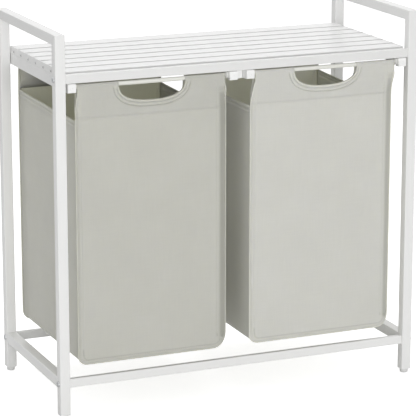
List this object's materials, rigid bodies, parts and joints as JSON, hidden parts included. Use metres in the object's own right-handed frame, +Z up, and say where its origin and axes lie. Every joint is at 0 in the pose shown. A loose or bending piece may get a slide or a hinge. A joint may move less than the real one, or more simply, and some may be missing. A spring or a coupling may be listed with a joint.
{
  "type": "laundry hamper with two bins",
  "caption": "Free-standing laundry hamper: white metal frame with a slatted shelf between raised side handles, over fabric bags that pull out on runners.",
  "frame": {"origin": "centre of the footprint, on the floor under the feet", "axes": "+Z up, +X to the right seen from the front, +Y to the back; the bags pull out towards -Y"},
  "size_m": [0.7352, 0.336, 0.722],
  "materials": {
    "frame_white": "white powder coat, satin",
    "slat_white": "white powder coat, satin",
    "runner_white": "white powder coat, satin",
    "rod_cream": "off-white coated steel rod",
    "bolt_steel": "zinc plated socket-head bolt",
    "foot_plastic": "light grey moulded plastic",
    "block_plastic": "white moulded plastic",
    "bag_cloth": "light greige plain-weave polyester cloth, turned seams"
  },
  "bodies": {
    "frame": {"post_front_left": "frame_white", "foot_front_left": "foot_plastic", "bolt_bottom_front_left": "bolt_steel", "bolt_shelf_front_left": "bolt_steel", "post_back_left": "frame_white", "foot_back_left": "foot_plastic", "bolt_bottom_back_left": "bolt_steel", "bolt_shelf_back_left": "bolt_steel", "handle_bar_left": "frame_white", "bottom_side_rail_left": "frame_white", "shelf_side_plate_left": "frame_white", "runner_channel_left": "runner_white", "post_front_right": "frame_white", "foot_front_right": "foot_plastic", "bolt_bottom_front_right": "bolt_steel", "bolt_shelf_front_right": "bolt_steel", "post_back_right": "frame_white", "foot_back_right": "foot_plastic", "bolt_bottom_back_right": "bolt_steel", "bolt_shelf_back_right": "bolt_steel", "handle_bar_right": "frame_white", "bottom_side_rail_right": "frame_white", "shelf_side_plate_right": "frame_white", "runner_channel_right": "runner_white", "bottom_front_rail": "frame_white", "bottom_back_rail": "frame_white", "shelf_front_rail": "frame_white", "shelf_back_rail": "frame_white", "runner_channel_centre": "runner_white", "shelf_slat_1": "slat_white", "shelf_slat_2": "slat_white", "shelf_slat_3": "slat_white", "shelf_slat_4": "slat_white", "shelf_slat_5": "slat_white", "shelf_slat_6": "slat_white", "shelf_slat_7": "slat_white"},
    "left_carrier": {"left_carrier_front_left_block": "block_plastic", "left_carrier_front_right_block": "block_plastic", "left_carrier_back_left_glide": "block_plastic", "left_carrier_back_right_glide": "block_plastic", "left_carrier_left_runner": "runner_white", "left_carrier_right_runner": "runner_white", "left_carrier_front_rod": "rod_cream", "left_carrier_back_rod": "rod_cream", "left_bag_front_panel": "bag_cloth", "left_bag_back_panel": "bag_cloth", "left_bag_side_strip": "bag_cloth"},
    "right_carrier": {"right_carrier_front_left_block": "block_plastic", "right_carrier_front_right_block": "block_plastic", "right_carrier_back_left_glide": "block_plastic", "right_carrier_back_right_glide": "block_plastic", "right_carrier_left_runner": "runner_white", "right_carrier_right_runner": "runner_white", "right_carrier_front_rod": "rod_cream", "right_carrier_back_rod": "rod_cream", "right_bag_front_panel": "bag_cloth", "right_bag_back_panel": "bag_cloth", "right_bag_side_strip": "bag_cloth"}
  },
  "joints": [
    {"name": "left_bag_pull_out", "type": "slide", "parent": "frame", "child": "left_carrier", "axis": [0, -1, 0], "range_m": [0, 0.22]},
    {"name": "right_bag_pull_out", "type": "slide", "parent": "frame", "child": "right_carrier", "axis": [0, -1, 0], "range_m": [0, 0.22]}
  ]
}
